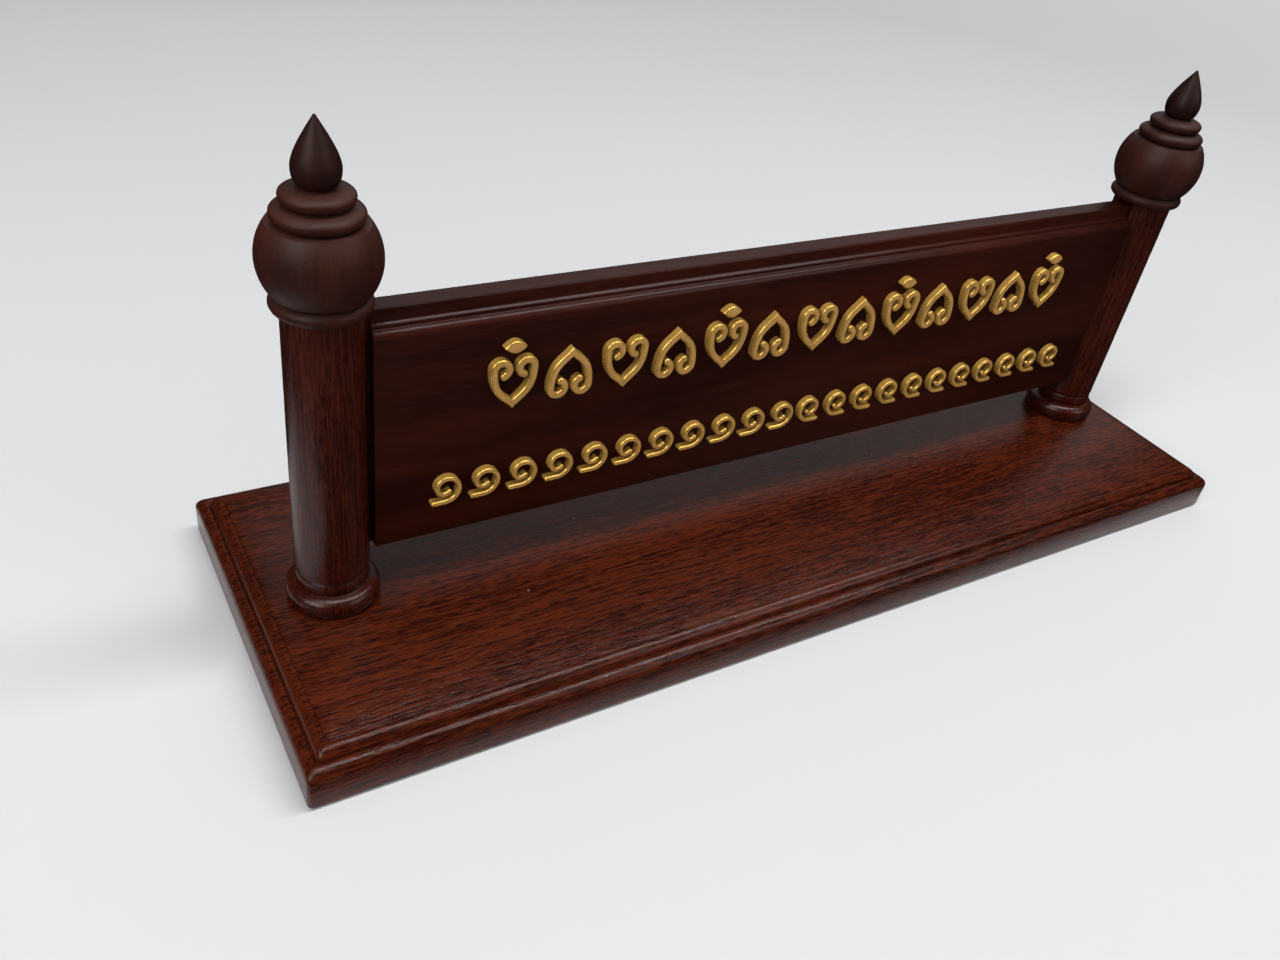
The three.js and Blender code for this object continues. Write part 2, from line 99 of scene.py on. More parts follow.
class NameStandSizes(PropertyGroup):
    fit: length("Clearance", "Gap between a piece and the hole or groove that takes it", 0.0003)
    foot_round: length("Base foot round", "Radius of the base's lower arris", 0.0016)
    bead: length("Base bead", "Radius of the bead along the base's edge", 0.0032)
    quirk_inset: length("Groove inset", "From the base's edge in to the groove", 0.004)
    quirk_depth: length("Groove depth", "Depth of the groove beside the bead", 0.0006)
    ovolo: length("Base quarter round", "Radius of the quarter round up to the panel", 0.0033)
    panel_step: length("Panel step", "Sharp rise from the quarter round to the panel", 0.0005)
    mitre_round: length("Corner round", "Softening of the base's mitred corners", 0.0014)
    arris: length("Sanded arris", "Softening of the base's sharp edges", 0.0002)
    board_soft: length("Board softening", "Softening of the sharp edges along the board's moulding", 0.0003)

    shaft: length("Shaft radius", "Radius at the foot of the plain shaft", 0.011)
    shaft_top: length("Shaft top", "Radius at the top of the shaft, which tapers a little", 0.0107)
    foot_bulge: length("Foot bulge", "How far the post's foot stands out past the shaft", 0.0031)
    foot_height: length("Foot height", "Height of the post's half-round foot", 0.0066)
    ring_height: length("Ring height", "Height of the ring between foot and shaft", 0.0034)
    post_groove: length("Post groove", "Depth and width of the grooves beside the ring", 0.001)
    tenon: length("Tenon radius", "Radius of the post's tenon in the base", 0.005)
    tenon_length: length("Tenon length", "Length of the post's tenon", 0.009)
    pin: length("Pin radius", "Radius of the finial's pin in the post", 0.003)
    pin_wall: length("Pin wall", "Wood between the pin's hole and the board's groove", 0.0014)

    collar_height: length("Collar height", "Height of the finial's collar", 0.0042)
    collar_bulge: length("Collar bulge", "How far the collar stands out past the shaft", 0.0023)
    ball: length("Ball radius", "Radius of the finial's ball", 0.0158)
    ball_rise: length("Ball rise", "From the finial's foot to the ball's middle", 0.0144)
    ball_below: length("Ball below", "How far the ball reaches below its middle", 0.0093)
    ball_above: length("Ball above", "How far the ball reaches above its middle", 0.0092)
    ball_neck: length("Ball neck", "Radius of the neck under the ball", 0.0108)
    lower_disc: length("Lower disc", "Radius of the lower disc", 0.0117)
    upper_disc: length("Upper disc", "Radius of the upper disc", 0.0094)
    disc_height: length("Disc height", "Height of each disc", 0.0041)
    disc_undercut: length("Disc undercut", "Depth of the groove under each disc", 0.0016)
    finial_groove: length("Finial groove", "Height of the finial's grooves", 0.0004)
    bud: length("Bud radius", "Radius of the pointed bud", 0.0061)
    bud_foot: length("Bud foot", "Radius of the bud's foot", 0.0044)
    bud_lower: length("Bud lower half", "Height of the bud's round lower half", 0.0041)
    bud_tip: length("Bud tip", "Radius of the bud's tip", 0.0006)

    board_arris: length("Board arris", "Rounding of the board's long edges", 0.0007)
    fascia: length("Fascia height", "Plain band along the board's top", 0.0042)
    ledge: length("Ledge", "Width of the flat ledge under the fascia", 0.001)
    ledge_slope: length("Ledge slope", "Fall of the ledge's front edge and rise of its rear edge", 0.00025)
    ledge_drop: length("Ledge drop", "From the ledge down to the quarter round", 0.0014)
    board_ovolo: length("Board quarter round", "Radius of the board's quarter round", 0.0022)

    heart_height: length("Heart height", "Height of a heart scroll", 0.0164)
    heart_stroke: length("Heart stroke", "Width of the heart scroll's band", 0.0023)
    heart_eye: length("Heart eye gap", "Gap between the two curls of a heart scroll", 0.0009)
    wave_stroke: length("Wave stroke", "Width of the wave scroll's band", 0.0016)
    gilt_rim: length("Gilt rim", "Rounded rim of each ornament's front", 0.00048)

    screw_shank: length("Screw shank", "Radius of the screw's shank", 0.00175)
    screw_head: length("Screw head", "Height of the screw's countersunk head", 0.0024)
    screw_point: length("Screw point", "Length of the screw's point", 0.004)
    lathe_sides: IntProperty(name="Lathe sides", description="Flats round a turned piece", default=96, min=24)


class NameStandFinishes(PropertyGroup):
    base_light: stain("Base light", "Light grain of the base board", (0.086, 0.0130, 0.0030))
    base_dark: stain("Base dark", "Dark grain of the base board", (0.018, 0.0027, 0.0011))
    post_light: stain("Post light", "Light grain of the posts", (0.062, 0.0080, 0.0024))
    post_dark: stain("Post dark", "Dark grain of the posts", (0.018, 0.0024, 0.0010))
    finial_light: stain("Finial light", "Light grain of the finials", (0.050, 0.0088, 0.0032))
    finial_dark: stain("Finial dark", "Dark grain of the finials", (0.022, 0.0042, 0.0022))
    board_light: stain("Board light", "Light grain of the name board", (0.044, 0.0054, 0.0012))
    board_dark: stain("Board dark", "Dark grain of the name board", (0.018, 0.0020, 0.0008))
    pore: stain("Pores", "Colour at the bottom of the open pores", (0.008, 0.0012, 0.0006))
    gilt_face: stain("Gilt face", "Dull front of the ornaments", (0.92, 0.50, 0.145))
    # painted highlight: a brighter copy of the gilt for the ornaments' sides and rims
    gilt_side_highlight: stain("Gilt side highlight", "Bright edges of the ornaments", (1.0, 0.59, 0.13))
    steel: stain("Steel", "Zinc-plated screws", (0.55, 0.54, 0.51))
    gloss: share("Lacquer roughness", "Roughness of the lacquer on the base board", 0.21)


def settings(context):
    return context.scene.name_stand_sizes, context.scene.name_stand_finishes


# ---- modelling by hand ----

def select_only(*pieces):
    if bpy.context.object and bpy.context.object.mode != "OBJECT":
        bpy.ops.object.mode_set(mode="OBJECT")
    bpy.ops.object.select_all(action="DESELECT")
    for piece in pieces:
        piece.select_set(True)
        bpy.context.view_layer.objects.active = piece


def name_piece(name):
    piece = bpy.context.object
    piece.name = name
    piece.data.name = name
    return piece


def pick(kind, test):
    """Selects the faces, edges or points of the piece in edit mode for which the test is true."""
    bpy.ops.mesh.select_mode(type=kind)
    bpy.ops.mesh.select_all(action="DESELECT")
    mesh = bmesh.from_edit_mesh(bpy.context.object.data)
    items = {"FACE": mesh.faces, "EDGE": mesh.edges, "VERT": mesh.verts}[kind]
    for item in items:
        if test(item):
            item.select_set(True)
    bmesh.update_edit_mesh(bpy.context.object.data)


def settle():
    """Puts the place, turn and scale of the selected piece into its mesh."""
    bpy.ops.object.transform_apply(location=True, rotation=True, scale=True)


def block(name, low, high):
    """A squared-up blank between two corners, left selected in object mode."""
    select_only()
    low, high = Vector(low), Vector(high)
    bpy.ops.mesh.primitive_cube_add(size=1, location=(low + high) / 2)
    bpy.ops.transform.resize(value=high - low)
    settle()
    return name_piece(name)


def draw_line(name, points):
    """Draws a line point by point and leaves it selected in edit mode."""
    select_only()
    bpy.ops.mesh.primitive_plane_add(size=0.01, location=points[0])
    piece = name_piece(name)
    bpy.ops.object.mode_set(mode="EDIT")
    bpy.ops.mesh.select_mode(type="VERT")
    bpy.ops.mesh.select_all(action="SELECT")
    bpy.ops.mesh.merge(type="CENTER")
    for here, ahead in zip(points, points[1:]):
        step = Vector(ahead) - Vector(here)
        bpy.ops.mesh.extrude_region_move(TRANSFORM_OT_translate={"value": step})
    bpy.ops.mesh.select_all(action="SELECT")
    return piece


def close_up():
    """Merges doubles, turns the faces outwards and settles the piece."""
    bpy.ops.mesh.select_all(action="SELECT")
    bpy.ops.mesh.remove_doubles(threshold=2e-7)
    bpy.ops.mesh.normals_make_consistent(inside=False)
    bpy.ops.object.mode_set(mode="OBJECT")
    settle()


def turn_on_lathe(name, profile, x, sides):
    """Spins a profile of (radius, height) about the upright axis at x."""
    piece = draw_line(name, [(x + radius, 0, z) for radius, z in profile])
    bpy.ops.mesh.spin(steps=sides, angle=2 * math.pi, center=(x, 0, 0), axis=(0, 0, 1))
    close_up()
    return piece


def carve(piece, *tools, operation="DIFFERENCE"):
    """Cuts the tools from the piece, or joins them to it, and clears them away."""
    for tool in tools:
        select_only(piece)
        bpy.ops.object.modifier_add(type="BOOLEAN")
        modifier = piece.modifiers[-1]
        modifier.operation = operation
        modifier.solver = "EXACT"
        modifier.object = tool
        bpy.ops.object.modifier_apply(modifier=modifier.name)
        select_only(tool)
        bpy.ops.object.delete()
    select_only(piece)


def soften(piece, width, segments=2, angle=40):
    """Rounds the piece's sharp edges a little, as sanding does."""
    select_only(piece)
    bpy.ops.object.modifier_add(type="BEVEL")
    modifier = piece.modifiers[-1]
    modifier.width = width
    modifier.segments = segments
    modifier.limit_method = "ANGLE"
    modifier.angle_limit = math.radians(angle)
    modifier.use_clamp_overlap = True
    bpy.ops.object.modifier_apply(modifier=modifier.name)


def hand_over(piece, node, slot, *materials, smooth=32):
    """Gives the piece its finish and its place in the stand."""
    select_only(piece)
    bpy.ops.object.shade_smooth_by_angle(angle=math.radians(smooth))
    if materials:
        piece.data.materials.clear()
        for material in materials:
            piece.data.materials.append(material)
    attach(piece, "root")
    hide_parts(node)


def copy_piece(piece, name):
    select_only(piece)
    bpy.ops.object.duplicate(linked=False)
    return name_piece(name)


def copy_across(piece, name):
    """Copies a piece on the left post's axis to the right post's."""
    twin = copy_piece(piece, name)
    bpy.ops.transform.translate(value=(-2 * POST_X, 0, 0))
    settle()
    return twin


# ---- profiles ----

def arc(x, z, radius_x, radius_z, start, end, steps):
    """Points along part of an ellipse, between two angles in degrees."""
    angles = [math.radians(start + (end - start) * i / steps) for i in range(steps + 1)]
    return [(x + radius_x * math.cos(a), z + radius_z * math.sin(a)) for a in angles]


def bead(lower, crown, upper, z0, z1, steps=9):
    """A half round from (lower, z0) out to its crown and back to (upper, z1)."""
    middle, half = (z0 + z1) / 2, (z1 - z0) / 2
    return (arc(lower, middle, crown - lower, half, -90, 0, steps)
            + arc(upper, middle, crown - upper, half, 0, 90, steps)[1:])


def sweep(a, b, c, d, steps):
    """Points along a curve from a to d that leaves towards b and arrives from c."""
    points = []
    for i in range(steps + 1):
        t = i / steps
        weights = ((1 - t) ** 3, 3 * t * (1 - t) ** 2, 3 * t * t * (1 - t), t ** 3)
        points.append(tuple(sum(w * p[k] for w, p in zip(weights, (a, b, c, d))) for k in (0, 1)))
    return points


def base_edge(s, top):
    """The base's moulded edge as (inset, height), from the bead's foot to the panel."""
    bead_top = top - s.panel_step - s.ovolo + s.quirk_depth
    ovolo_foot = top - s.panel_step - s.ovolo
    panel = s.quirk_inset + s.ovolo + s.panel_step
    return (arc(s.bead, bead_top - s.bead, -s.bead, s.bead, 0, 90, 7)
            + arc(s.quirk_inset + s.ovolo, ovolo_foot, -s.ovolo, s.ovolo, 0, 90, 8)
            + [(panel, top - s.panel_step), (panel, top)])


def post_profile(s, panel, top, pilot_end, pin_foot):
    """A post from the blind end of its screw hole, round the outside, to the blind end of its pin hole."""
    pilot, pin, tenon_foot = s.screw_shank + s.fit, s.pin + s.fit, panel - s.tenon_length
    foot_top = panel + s.foot_height
    ring_foot = foot_top + s.post_groove
    ring_top = ring_foot + s.ring_height
    floor = s.shaft - s.post_groove
    shoulder = s.shaft - s.post_groove / 2
    return ([(0, pilot_end), (pilot, pilot_end), (pilot, tenon_foot), (s.tenon, tenon_foot), (s.tenon, panel)]
            + bead(s.shaft + s.foot_bulge / 2, s.shaft + s.foot_bulge, s.shaft, panel, foot_top)
            + [(floor, foot_top + s.post_groove / 2)]
            + bead(shoulder, s.shaft, shoulder, ring_foot, ring_top, 6)
            + [(floor, ring_top + s.post_groove / 2), (s.shaft, ring_top + s.post_groove),
               (s.shaft_top, top), (pin, top), (pin, pin_foot), (0, pin_foot)])


def finial_profile(s, pin_foot, foot, tip):
    collar_top = foot + s.collar_height
    ball_middle = foot + s.ball_rise
    lower_disc = ball_middle + s.ball_above + s.finial_groove
    lower_top = lower_disc + s.disc_height
    upper_disc = lower_top + s.finial_groove
    upper_top = upper_disc + s.disc_height
    bud_foot = upper_top + s.finial_groove
    bud_middle = bud_foot + s.bud_lower
    bud_upper = tip - bud_middle
    lower_floor = s.lower_disc - s.disc_undercut
    upper_floor = s.upper_disc - s.disc_undercut
    below = -math.degrees(math.asin(s.ball_below / s.ball))
    above = math.degrees(math.asin(s.ball_above / s.ball))
    half_groove = s.finial_groove / 2
    return ([(0, pin_foot), (s.pin, pin_foot), (s.pin, foot)]
            + bead(s.shaft, s.shaft + s.collar_bulge, s.shaft, foot, collar_top)
            + [(s.ball_neck, collar_top + s.finial_groove)]
            + arc(0, ball_middle, s.ball, s.ball, below, above, 22)
            + [(lower_floor, lower_disc - half_groove)]
            + bead(lower_floor, s.lower_disc, upper_floor, lower_disc, lower_top)
            + [(upper_floor - s.finial_groove, upper_disc - half_groove)]
            + bead(upper_floor, s.upper_disc, s.bud_foot, upper_disc, upper_top)
            + [(s.bud_foot - s.finial_groove, bud_foot - half_groove)]
            + arc(s.bud_foot, bud_middle, s.bud - s.bud_foot, s.bud_lower, -90, 0, 10)
            + sweep((s.bud, bud_middle), (s.bud, bud_middle + bud_upper * 0.27),
                    (s.bud * 0.4, bud_middle + bud_upper * 0.71), (s.bud_tip, tip - s.bud_tip), 22)[1:]
            + [(s.bud_tip * 0.6, tip - s.bud_tip * 0.2), (0, tip)])


def board_section(s, bottom, top, front):
    """The board's section as (depth, height), round the front half and back down the rear half."""
    field_top = top - s.fascia - s.ledge_drop - s.board_ovolo
    ledge_front = front - s.board_ovolo
    fascia_front = ledge_front - s.ledge
    a = s.board_arris
    half = (arc(front - a, bottom + a, a, a, -90, 0, 4)
            + arc(ledge_front, field_top, s.board_ovolo, s.board_ovolo, 0, 90, 8)
            + [(ledge_front, top - s.fascia - s.ledge_slope), (fascia_front, top - s.fascia + s.ledge_slope)]
            + arc(fascia_front - a, top - a, a, a, 0, 90, 4))
    return half + [(-depth, z) for depth, z in reversed(half)]


def band_outline(line, width):
    """The closed outline of a band of one width along a centre line, with round ends."""
    points = [Vector(p) for p in line]
    half = width / 2
    last = len(points) - 1

    def heading(i):
        return (points[i + 1] - points[i]).normalized()

    sides = [[], []]
    for i, here in enumerate(points):
        out = heading(min(i, last - 1))
        along = (heading(max(i - 1, 0)) + out).normalized()
        across = Vector((along.y, -along.x)) * (half / along.dot(out))
        sides[0].append(here + across)
        sides[1].insert(0, here - across)

    def cap(end, along):
        side = Vector((along.y, -along.x))
        turns = [math.pi * i / 6 for i in range(1, 6)]
        return [end + half * (side * math.cos(t) + along * math.sin(t)) for t in turns]

    return sides[0] + cap(points[last], heading(last - 1)) + sides[1] + cap(points[0], -heading(0))


def heart_line(width, height, stroke, eye):
    """A heart scroll's centre line, from one curl down to the foot and up to the other curl."""
    side = (width - stroke) / 2
    curl = (side - (stroke + eye) / 2) / 2
    top = height - stroke
    flank = sweep((0, 0), (side * 0.4, top * 0.2), (side, top * 0.25), (side, top - curl), 12)
    flank.pop(1)  # a first step this short would fold the band's inner corner
    right = flank + arc(side - curl, top - curl, curl, curl, 0, 250, 16)[1:]
    return [(-x, z) for x, z in reversed(right[1:])] + right


def wave_line(width, height, stroke):
    """A wave scroll's centre line: a straight foot, then a coil that winds inwards."""
    turn, eye, steps = 400, 0.34, 30
    outer = (height - stroke) / (2 - (1 - eye) * 180 / turn)
    coil = []
    for i in range(steps + 1):
        angle = math.radians(i / steps * turn - 90)
        radius = outer * (1 + (eye - 1) * i / steps)
        coil.append((radius * math.cos(angle), radius * math.sin(angle)))
    return [(max(p[0] for p in coil) - (width - stroke), -outer)] + coil


def leaf_outline(width, height):
    """A pointed leaf on its side."""
    reach, steps = width / 2, 12
    upper = []
    for i in range(steps):
        t = i / steps
        upper.append((reach * (1 - 2 * t), 2 * t * (1 - t) * height))
    return [Vector(p) for p in upper] + [Vector((-x, -z)) for x, z in upper]


# ---- node groups and finishes ----

def put(tree, kind, **options):
    node = tree.nodes.new(kind)
    for key, value in options.items():
        setattr(node, key, value)
    return node


def feed(tree, socket, value):
    """Links an output to the socket, or sets a number, vector or colour on it."""
    if isinstance(value, bpy.types.NodeSocket):
        tree.links.new(value, socket)
    else:
        socket.default_value = value


def math_node(tree, operation, *values):
    node = put(tree, "ShaderNodeMath", operation=operation)
    for socket, value in zip(node.inputs, values):
        feed(tree, socket, value)
    return node.outputs[0]


def plus(tree, first, second):
    return math_node(tree, "ADD", first, second)


def minus(tree, first, second):
    return math_node(tree, "SUBTRACT", first, second)


def times(tree, first, second):
    return math_node(tree, "MULTIPLY", first, second)


def larger(tree, first, second):
    return math_node(tree, "MAXIMUM", first, second)


def spread(tree, value, low, high, to_low=0.0, to_high=1.0):
    """Spreads a narrow range of a value over another range."""
    node = put(tree, "ShaderNodeMapRange", clamp=True)
    for key, number in (("Value", value), ("From Min", low), ("From Max", high),
                        ("To Min", to_low), ("To Max", to_high)):
        feed(tree, node.inputs[key], number)
    return node.outputs["Result"]


def blend(tree, mask, first, second):
    node = put(tree, "ShaderNodeMix", data_type="RGBA")
    for number, value in ((0, mask), (6, first), (7, second)):
        feed(tree, node.inputs[number], value)
    return node.outputs[2]


def vector_node(tree, operation, first, second):
    node = put(tree, "ShaderNodeVectorMath", operation=operation)
    feed(tree, node.inputs[0], first)
    feed(tree, node.inputs[1], second)
    return node.outputs[0]


def split(tree, value, kind="ShaderNodeSeparateXYZ"):
    """The three parts of a vector or colour."""
    node = put(tree, kind)
    tree.links.new(value, node.inputs[0])
    return node.outputs


def noise(tree, vector, scale, detail=2.0, roughness=0.5, output="Fac"):
    """Noise with its own number of cells per metre along each axis."""
    node = put(tree, "ShaderNodeTexNoise")
    tree.links.new(vector_node(tree, "MULTIPLY", vector, scale), node.inputs["Vector"])
    node.inputs["Scale"].default_value = 1.0
    node.inputs["Detail"].default_value = detail
    node.inputs["Roughness"].default_value = roughness
    return node.outputs[output]


def voronoi(tree, vector, scale):
    node = put(tree, "ShaderNodeTexVoronoi", feature="F1")
    tree.links.new(vector, node.inputs["Vector"])
    node.inputs["Scale"].default_value = scale
    return node.outputs["Distance"], split(tree, node.outputs["Color"], "ShaderNodeSeparateColor")


def new_group(name, inputs, outputs):
    """An empty group; returns its tree, what it takes in and what it gives out."""
    tree = bpy.data.node_groups.new(name, "ShaderNodeTree")
    for title, kind, default in inputs:
        socket = tree.interface.new_socket(name=title, in_out="INPUT", socket_type=kind)
        if default is not None:
            socket.default_value = default
    for title, kind in outputs:
        tree.interface.new_socket(name=title, in_out="OUTPUT", socket_type=kind)
    return tree, put(tree, "NodeGroupInput").outputs, put(tree, "NodeGroupOutput").inputs


def wood_grain_group():
    """Stained wood with open pores. The grain runs along the vector's first axis, in metres."""
    tree, take, give = new_group(
        "Open Pored Grain",
        [("Vector", "NodeSocketVector", None),
         ("Light", "NodeSocketColor", (0.1, 0.03, 0.02, 1)),
         ("Dark", "NodeSocketColor", (0.03, 0.01, 0.01, 1)),
         ("Pore", "NodeSocketColor", (0.01, 0.004, 0.003, 1)),
         ("Pore Length", "NodeSocketFloat", 0.011),
         ("Pore Width", "NodeSocketFloat", 0.0009),
         ("Pore Share", "NodeSocketFloat", 0.6),
         ("Pore Strength", "NodeSocketFloat", 0.8),
         ("Figure", "NodeSocketFloat", 0.6),
         ("Streaks", "NodeSocketFloat", 0.6),
         ("Roughness", "NodeSocketFloat", 0.3)],
        [("Colour", "NodeSocketColor"), ("Roughness", "NodeSocketFloat"), ("Height", "NodeSocketFloat")])
    link = tree.links.new
    wander = noise(tree, take["Vector"], (9.0, 30.0, 30.0), output="Color")
    along = vector_node(tree, "ADD", take["Vector"],
                        vector_node(tree, "MULTIPLY", wander, (0.0, 0.004, 0.004)))

    figure = spread(tree, noise(tree, along, (9.0, 70.0, 70.0), 3.0, 0.55), 0.33, 0.67, -0.5, 0.5)
    streak = spread(tree, noise(tree, along, (65.0, 1050.0, 1050.0), 4.0, 0.68), 0.36, 0.64, -0.5, 0.5)
    fibre = noise(tree, along, (260.0, 3200.0, 3200.0), 1.0)
    thread = spread(tree, fibre, 0.35, 0.65, -0.35, 0.35)

    cells = put(tree, "ShaderNodeCombineXYZ")
    link(math_node(tree, "DIVIDE", 1.0, take["Pore Length"]), cells.inputs["X"])
    across = math_node(tree, "DIVIDE", 1.0, take["Pore Width"])
    link(across, cells.inputs["Y"])
    link(across, cells.inputs["Z"])
    distance, cell = voronoi(tree, vector_node(tree, "MULTIPLY", along, cells.outputs[0]), 1.0)
    present = spread(tree, minus(tree, take["Pore Share"], cell[0]), 0.0, 0.35)
    reach = spread(tree, cell[1], 0.0, 1.0, 0.22, 0.5)
    pores = times(tree, spread(tree, minus(tree, reach, distance), 0.0, 0.14), present)

    tone = plus(tree, times(tree, figure, take["Figure"]),
                times(tree, plus(tree, streak, thread), take["Streaks"]))
    ground = blend(tree, spread(tree, tone, -0.5, 0.5), take["Dark"], take["Light"])
    link(blend(tree, times(tree, pores, take["Pore Strength"]), ground, take["Pore"]), give["Colour"])
    link(plus(tree, take["Roughness"], times(tree, streak, 0.06)), give["Roughness"])
    height = minus(tree, times(tree, streak, 0.5), times(tree, pores, 0.12))
    link(plus(tree, height, times(tree, fibre, 0.4)), give["Height"])
    return tree


def dust_and_sheen_group():
    """Sparse pale dust specks and a faint pale film of painted sheen, as a mask, on whatever faces up."""
    tree, take, give = new_group(
        "Settled Dust And Painted Sheen",
        [("Vector", "NodeSocketVector", None), ("Amount", "NodeSocketFloat", 0.5),
         ("Painted Sheen", "NodeSocketFloat", 0.0)],
        [("Mask", "NodeSocketFloat")])
    distance, cell = voronoi(tree, take["Vector"], 130.0)
    dots = times(tree, spread(tree, distance, 0.02, 0.045, 1.0, 0.0), spread(tree, cell[0], 0.93, 0.97))
    up = split(tree, put(tree, "ShaderNodeNewGeometry").outputs["Normal"])["Z"]
    pale_overlay = times(tree, dots, spread(tree, up, 0.5, 0.95))
    patchy = spread(tree, noise(tree, take["Vector"], (160.0, 160.0, 160.0), 3.0), 0.3, 0.7, 0.6, 1.4)
    # painted sheen: a patchy pale film on up-facing faces, standing in for the sheen they catch from above
    painted_sheen = times(tree, times(tree, spread(tree, up, 0.2, 0.9), take["Painted Sheen"]), patchy)
    tree.links.new(plus(tree, times(tree, pale_overlay, take["Amount"]), painted_sheen), give["Mask"])
    return tree


def group_node(tree, name, build):
    """Places a shader group in the tree and builds it the first time."""
    return put(tree, "ShaderNodeGroup", node_tree=bpy.data.node_groups.get(name) or build())


def new_material(name):
    """A material with one Principled shader; returns it, its tree, the shader and a coordinate output."""
    material = bpy.data.materials.get(name)
    if material:
        return material, None, None, None
    material = bpy.data.materials.new(name)
    material.use_nodes = True
    tree = material.node_tree
    tree.nodes.clear()
    shader = put(tree, "ShaderNodeBsdfPrincipled")
    tree.links.new(shader.outputs[0], put(tree, "ShaderNodeOutputMaterial").inputs["Surface"])
    return material, tree, shader, put(tree, "ShaderNodeTexCoord").outputs["Object"]


def bump(tree, height, distance, strength, shader):
    node = put(tree, "ShaderNodeBump")
    node.inputs["Distance"].default_value = distance
    node.inputs["Strength"].default_value = strength
    tree.links.new(height, node.inputs["Height"])
    tree.links.new(node.outputs[0], shader.inputs["Normal"])


def stained_wood(name, light, dark, pore, turn, offset, values, bump_depth, polish,
                 dust=0.6, painted_sheen=0.0, painted_shade_above=None):
    """Stained and lacquered wood, with an optional height above which shade is painted, darkening the stain.

    turn lays the grain along the piece, and offset picks its own stretch of it. Pores and streaks fade
    on end grain.
    """
    material, tree, shader, place = new_material(name)
    if tree is None:
        return material
    link = tree.links.new
    mapping = put(tree, "ShaderNodeMapping", vector_type="POINT")
    mapping.inputs["Rotation"].default_value = turn
    mapping.inputs["Location"].default_value = offset
    link(place, mapping.inputs["Vector"])
    grain = group_node(tree, "Open Pored Grain", wood_grain_group)
    link(mapping.outputs[0], grain.inputs["Vector"])
    for key, colour in (("Light", light), ("Dark", dark), ("Pore", pore)):
        grain.inputs[key].default_value = (*colour, 1)
    for key, value in values.items():
        grain.inputs[key].default_value = value

    turned = put(tree, "ShaderNodeMapping", vector_type="VECTOR")
    turned.inputs["Rotation"].default_value = turn
    link(put(tree, "ShaderNodeNewGeometry").outputs["Normal"], turned.inputs["Vector"])
    end_grain = math_node(tree, "ABSOLUTE", split(tree, turned.outputs[0])["X"])
    for key, left in (("Pore Strength", 0.3), ("Streaks", 0.4)):
        link(spread(tree, end_grain, 0.2, 0.9, values[key], left * values[key]), grain.inputs[key])

    pale_overlay = group_node(tree, "Settled Dust And Painted Sheen", dust_and_sheen_group)
    link(place, pale_overlay.inputs["Vector"])
    pale_overlay.inputs["Amount"].default_value = dust
    pale_overlay.inputs["Painted Sheen"].default_value = painted_sheen
    # blends in pale dust specks and, on the finials, the painted sheen
    colour = blend(tree, pale_overlay.outputs["Mask"], grain.outputs["Colour"], DUST_AND_SHEEN_COLOUR)
    # painted shade: above the given height the colour is blended 65% of the way to the pore colour, darkening
    # the bud
    if painted_shade_above:
        shade = spread(tree, split(tree, place)["Z"], painted_shade_above - 0.001, painted_shade_above + 0.001, 0.0, 0.65)
        colour = blend(tree, shade, colour, (*pore, 1))
    link(colour, shader.inputs["Base Color"])
    link(grain.outputs["Roughness"], shader.inputs["Roughness"])
    shader.inputs["Specular IOR Level"].default_value = polish
    bump(tree, grain.outputs["Height"], bump_depth, 0.8, shader)
    return material


def base_wood(f):
    return stained_wood(
        "Mahogany Stained Base", f.base_light, f.base_dark, f.pore, LEVEL, (0, 0, 0.21),
        {"Pore Length": 0.0045, "Pore Width": 0.0006, "Pore Share": 0.75, "Pore Strength": 0.65,
         "Figure": 0.45, "Streaks": 1.2, "Roughness": f.gloss},
        bump_depth=0.00009, polish=0.26)


def post_wood(f):
    return stained_wood(
        "Mahogany Stained Posts", f.post_light, f.post_dark, f.pore, UPRIGHT, (0.3, 0, 0),
        {"Pore Length": 0.006, "Pore Width": 0.0008, "Pore Share": 0.7, "Pore Strength": 0.7,
         "Figure": 0.35, "Streaks": 0.8, "Roughness": 0.27},
        bump_depth=0.00006, polish=0.34)


def finial_wood(f, bud_foot):
    return stained_wood(
        # the finials get a painted sheen on their up-facing faces
        "Brown Stained Finials", f.finial_light, f.finial_dark, f.pore, UPRIGHT, (0.55, 0.1, 0),
        {"Pore Length": 0.004, "Pore Width": 0.0008, "Pore Share": 0.35, "Pore Strength": 0.5,
         "Figure": 0.9, "Streaks": 0.4, "Roughness": 0.50},
        # painted shade darkens the bud above its foot
        bump_depth=0.00004, polish=0.24, painted_sheen=0.021, painted_shade_above=bud_foot)


def board_wood(f):
    return stained_wood(
        "Dark Stained Name Board", f.board_light, f.board_dark, f.pore, LEVEL, (0.1, 0.3, 0),
        {"Pore Length": 0.010, "Pore Width": 0.0008, "Pore Share": 0.3, "Pore Strength": 0.4,
         "Figure": 0.9, "Streaks": 0.4, "Roughness": 0.36},
        bump_depth=0.00004, polish=0.26, dust=0.3)


def patchy_metal(tree, shader, patches, clean, wear, roughness, metallic):
    """Colours a metal from worn to clean patches. roughness holds a worn and a clean value."""
    worn = tuple(part * wear for part in clean)
    colour = blend(tree, spread(tree, patches, 0.35, 0.65), (*worn, 1), (*clean, 1))
    tree.links.new(colour, shader.inputs["Base Color"])
    tree.links.new(spread(tree, patches, 0.3, 0.7, *roughness), shader.inputs["Roughness"])
    shader.inputs["Metallic"].default_value = metallic


def gilt(name, colour, roughness, metallic):
    material, tree, shader, place = new_material(name)
    if tree is None:
        return material
    patches = noise(tree, place, (260.0, 260.0, 260.0), 3.0, 0.6)
    patchy_metal(tree, shader, patches, colour, 0.8, (roughness + 0.08, roughness - 0.06), metallic)
    bump(tree, noise(tree, place, (2600.0, 2600.0, 2600.0), 1.0), 0.00001, 0.25, shader)
    return material


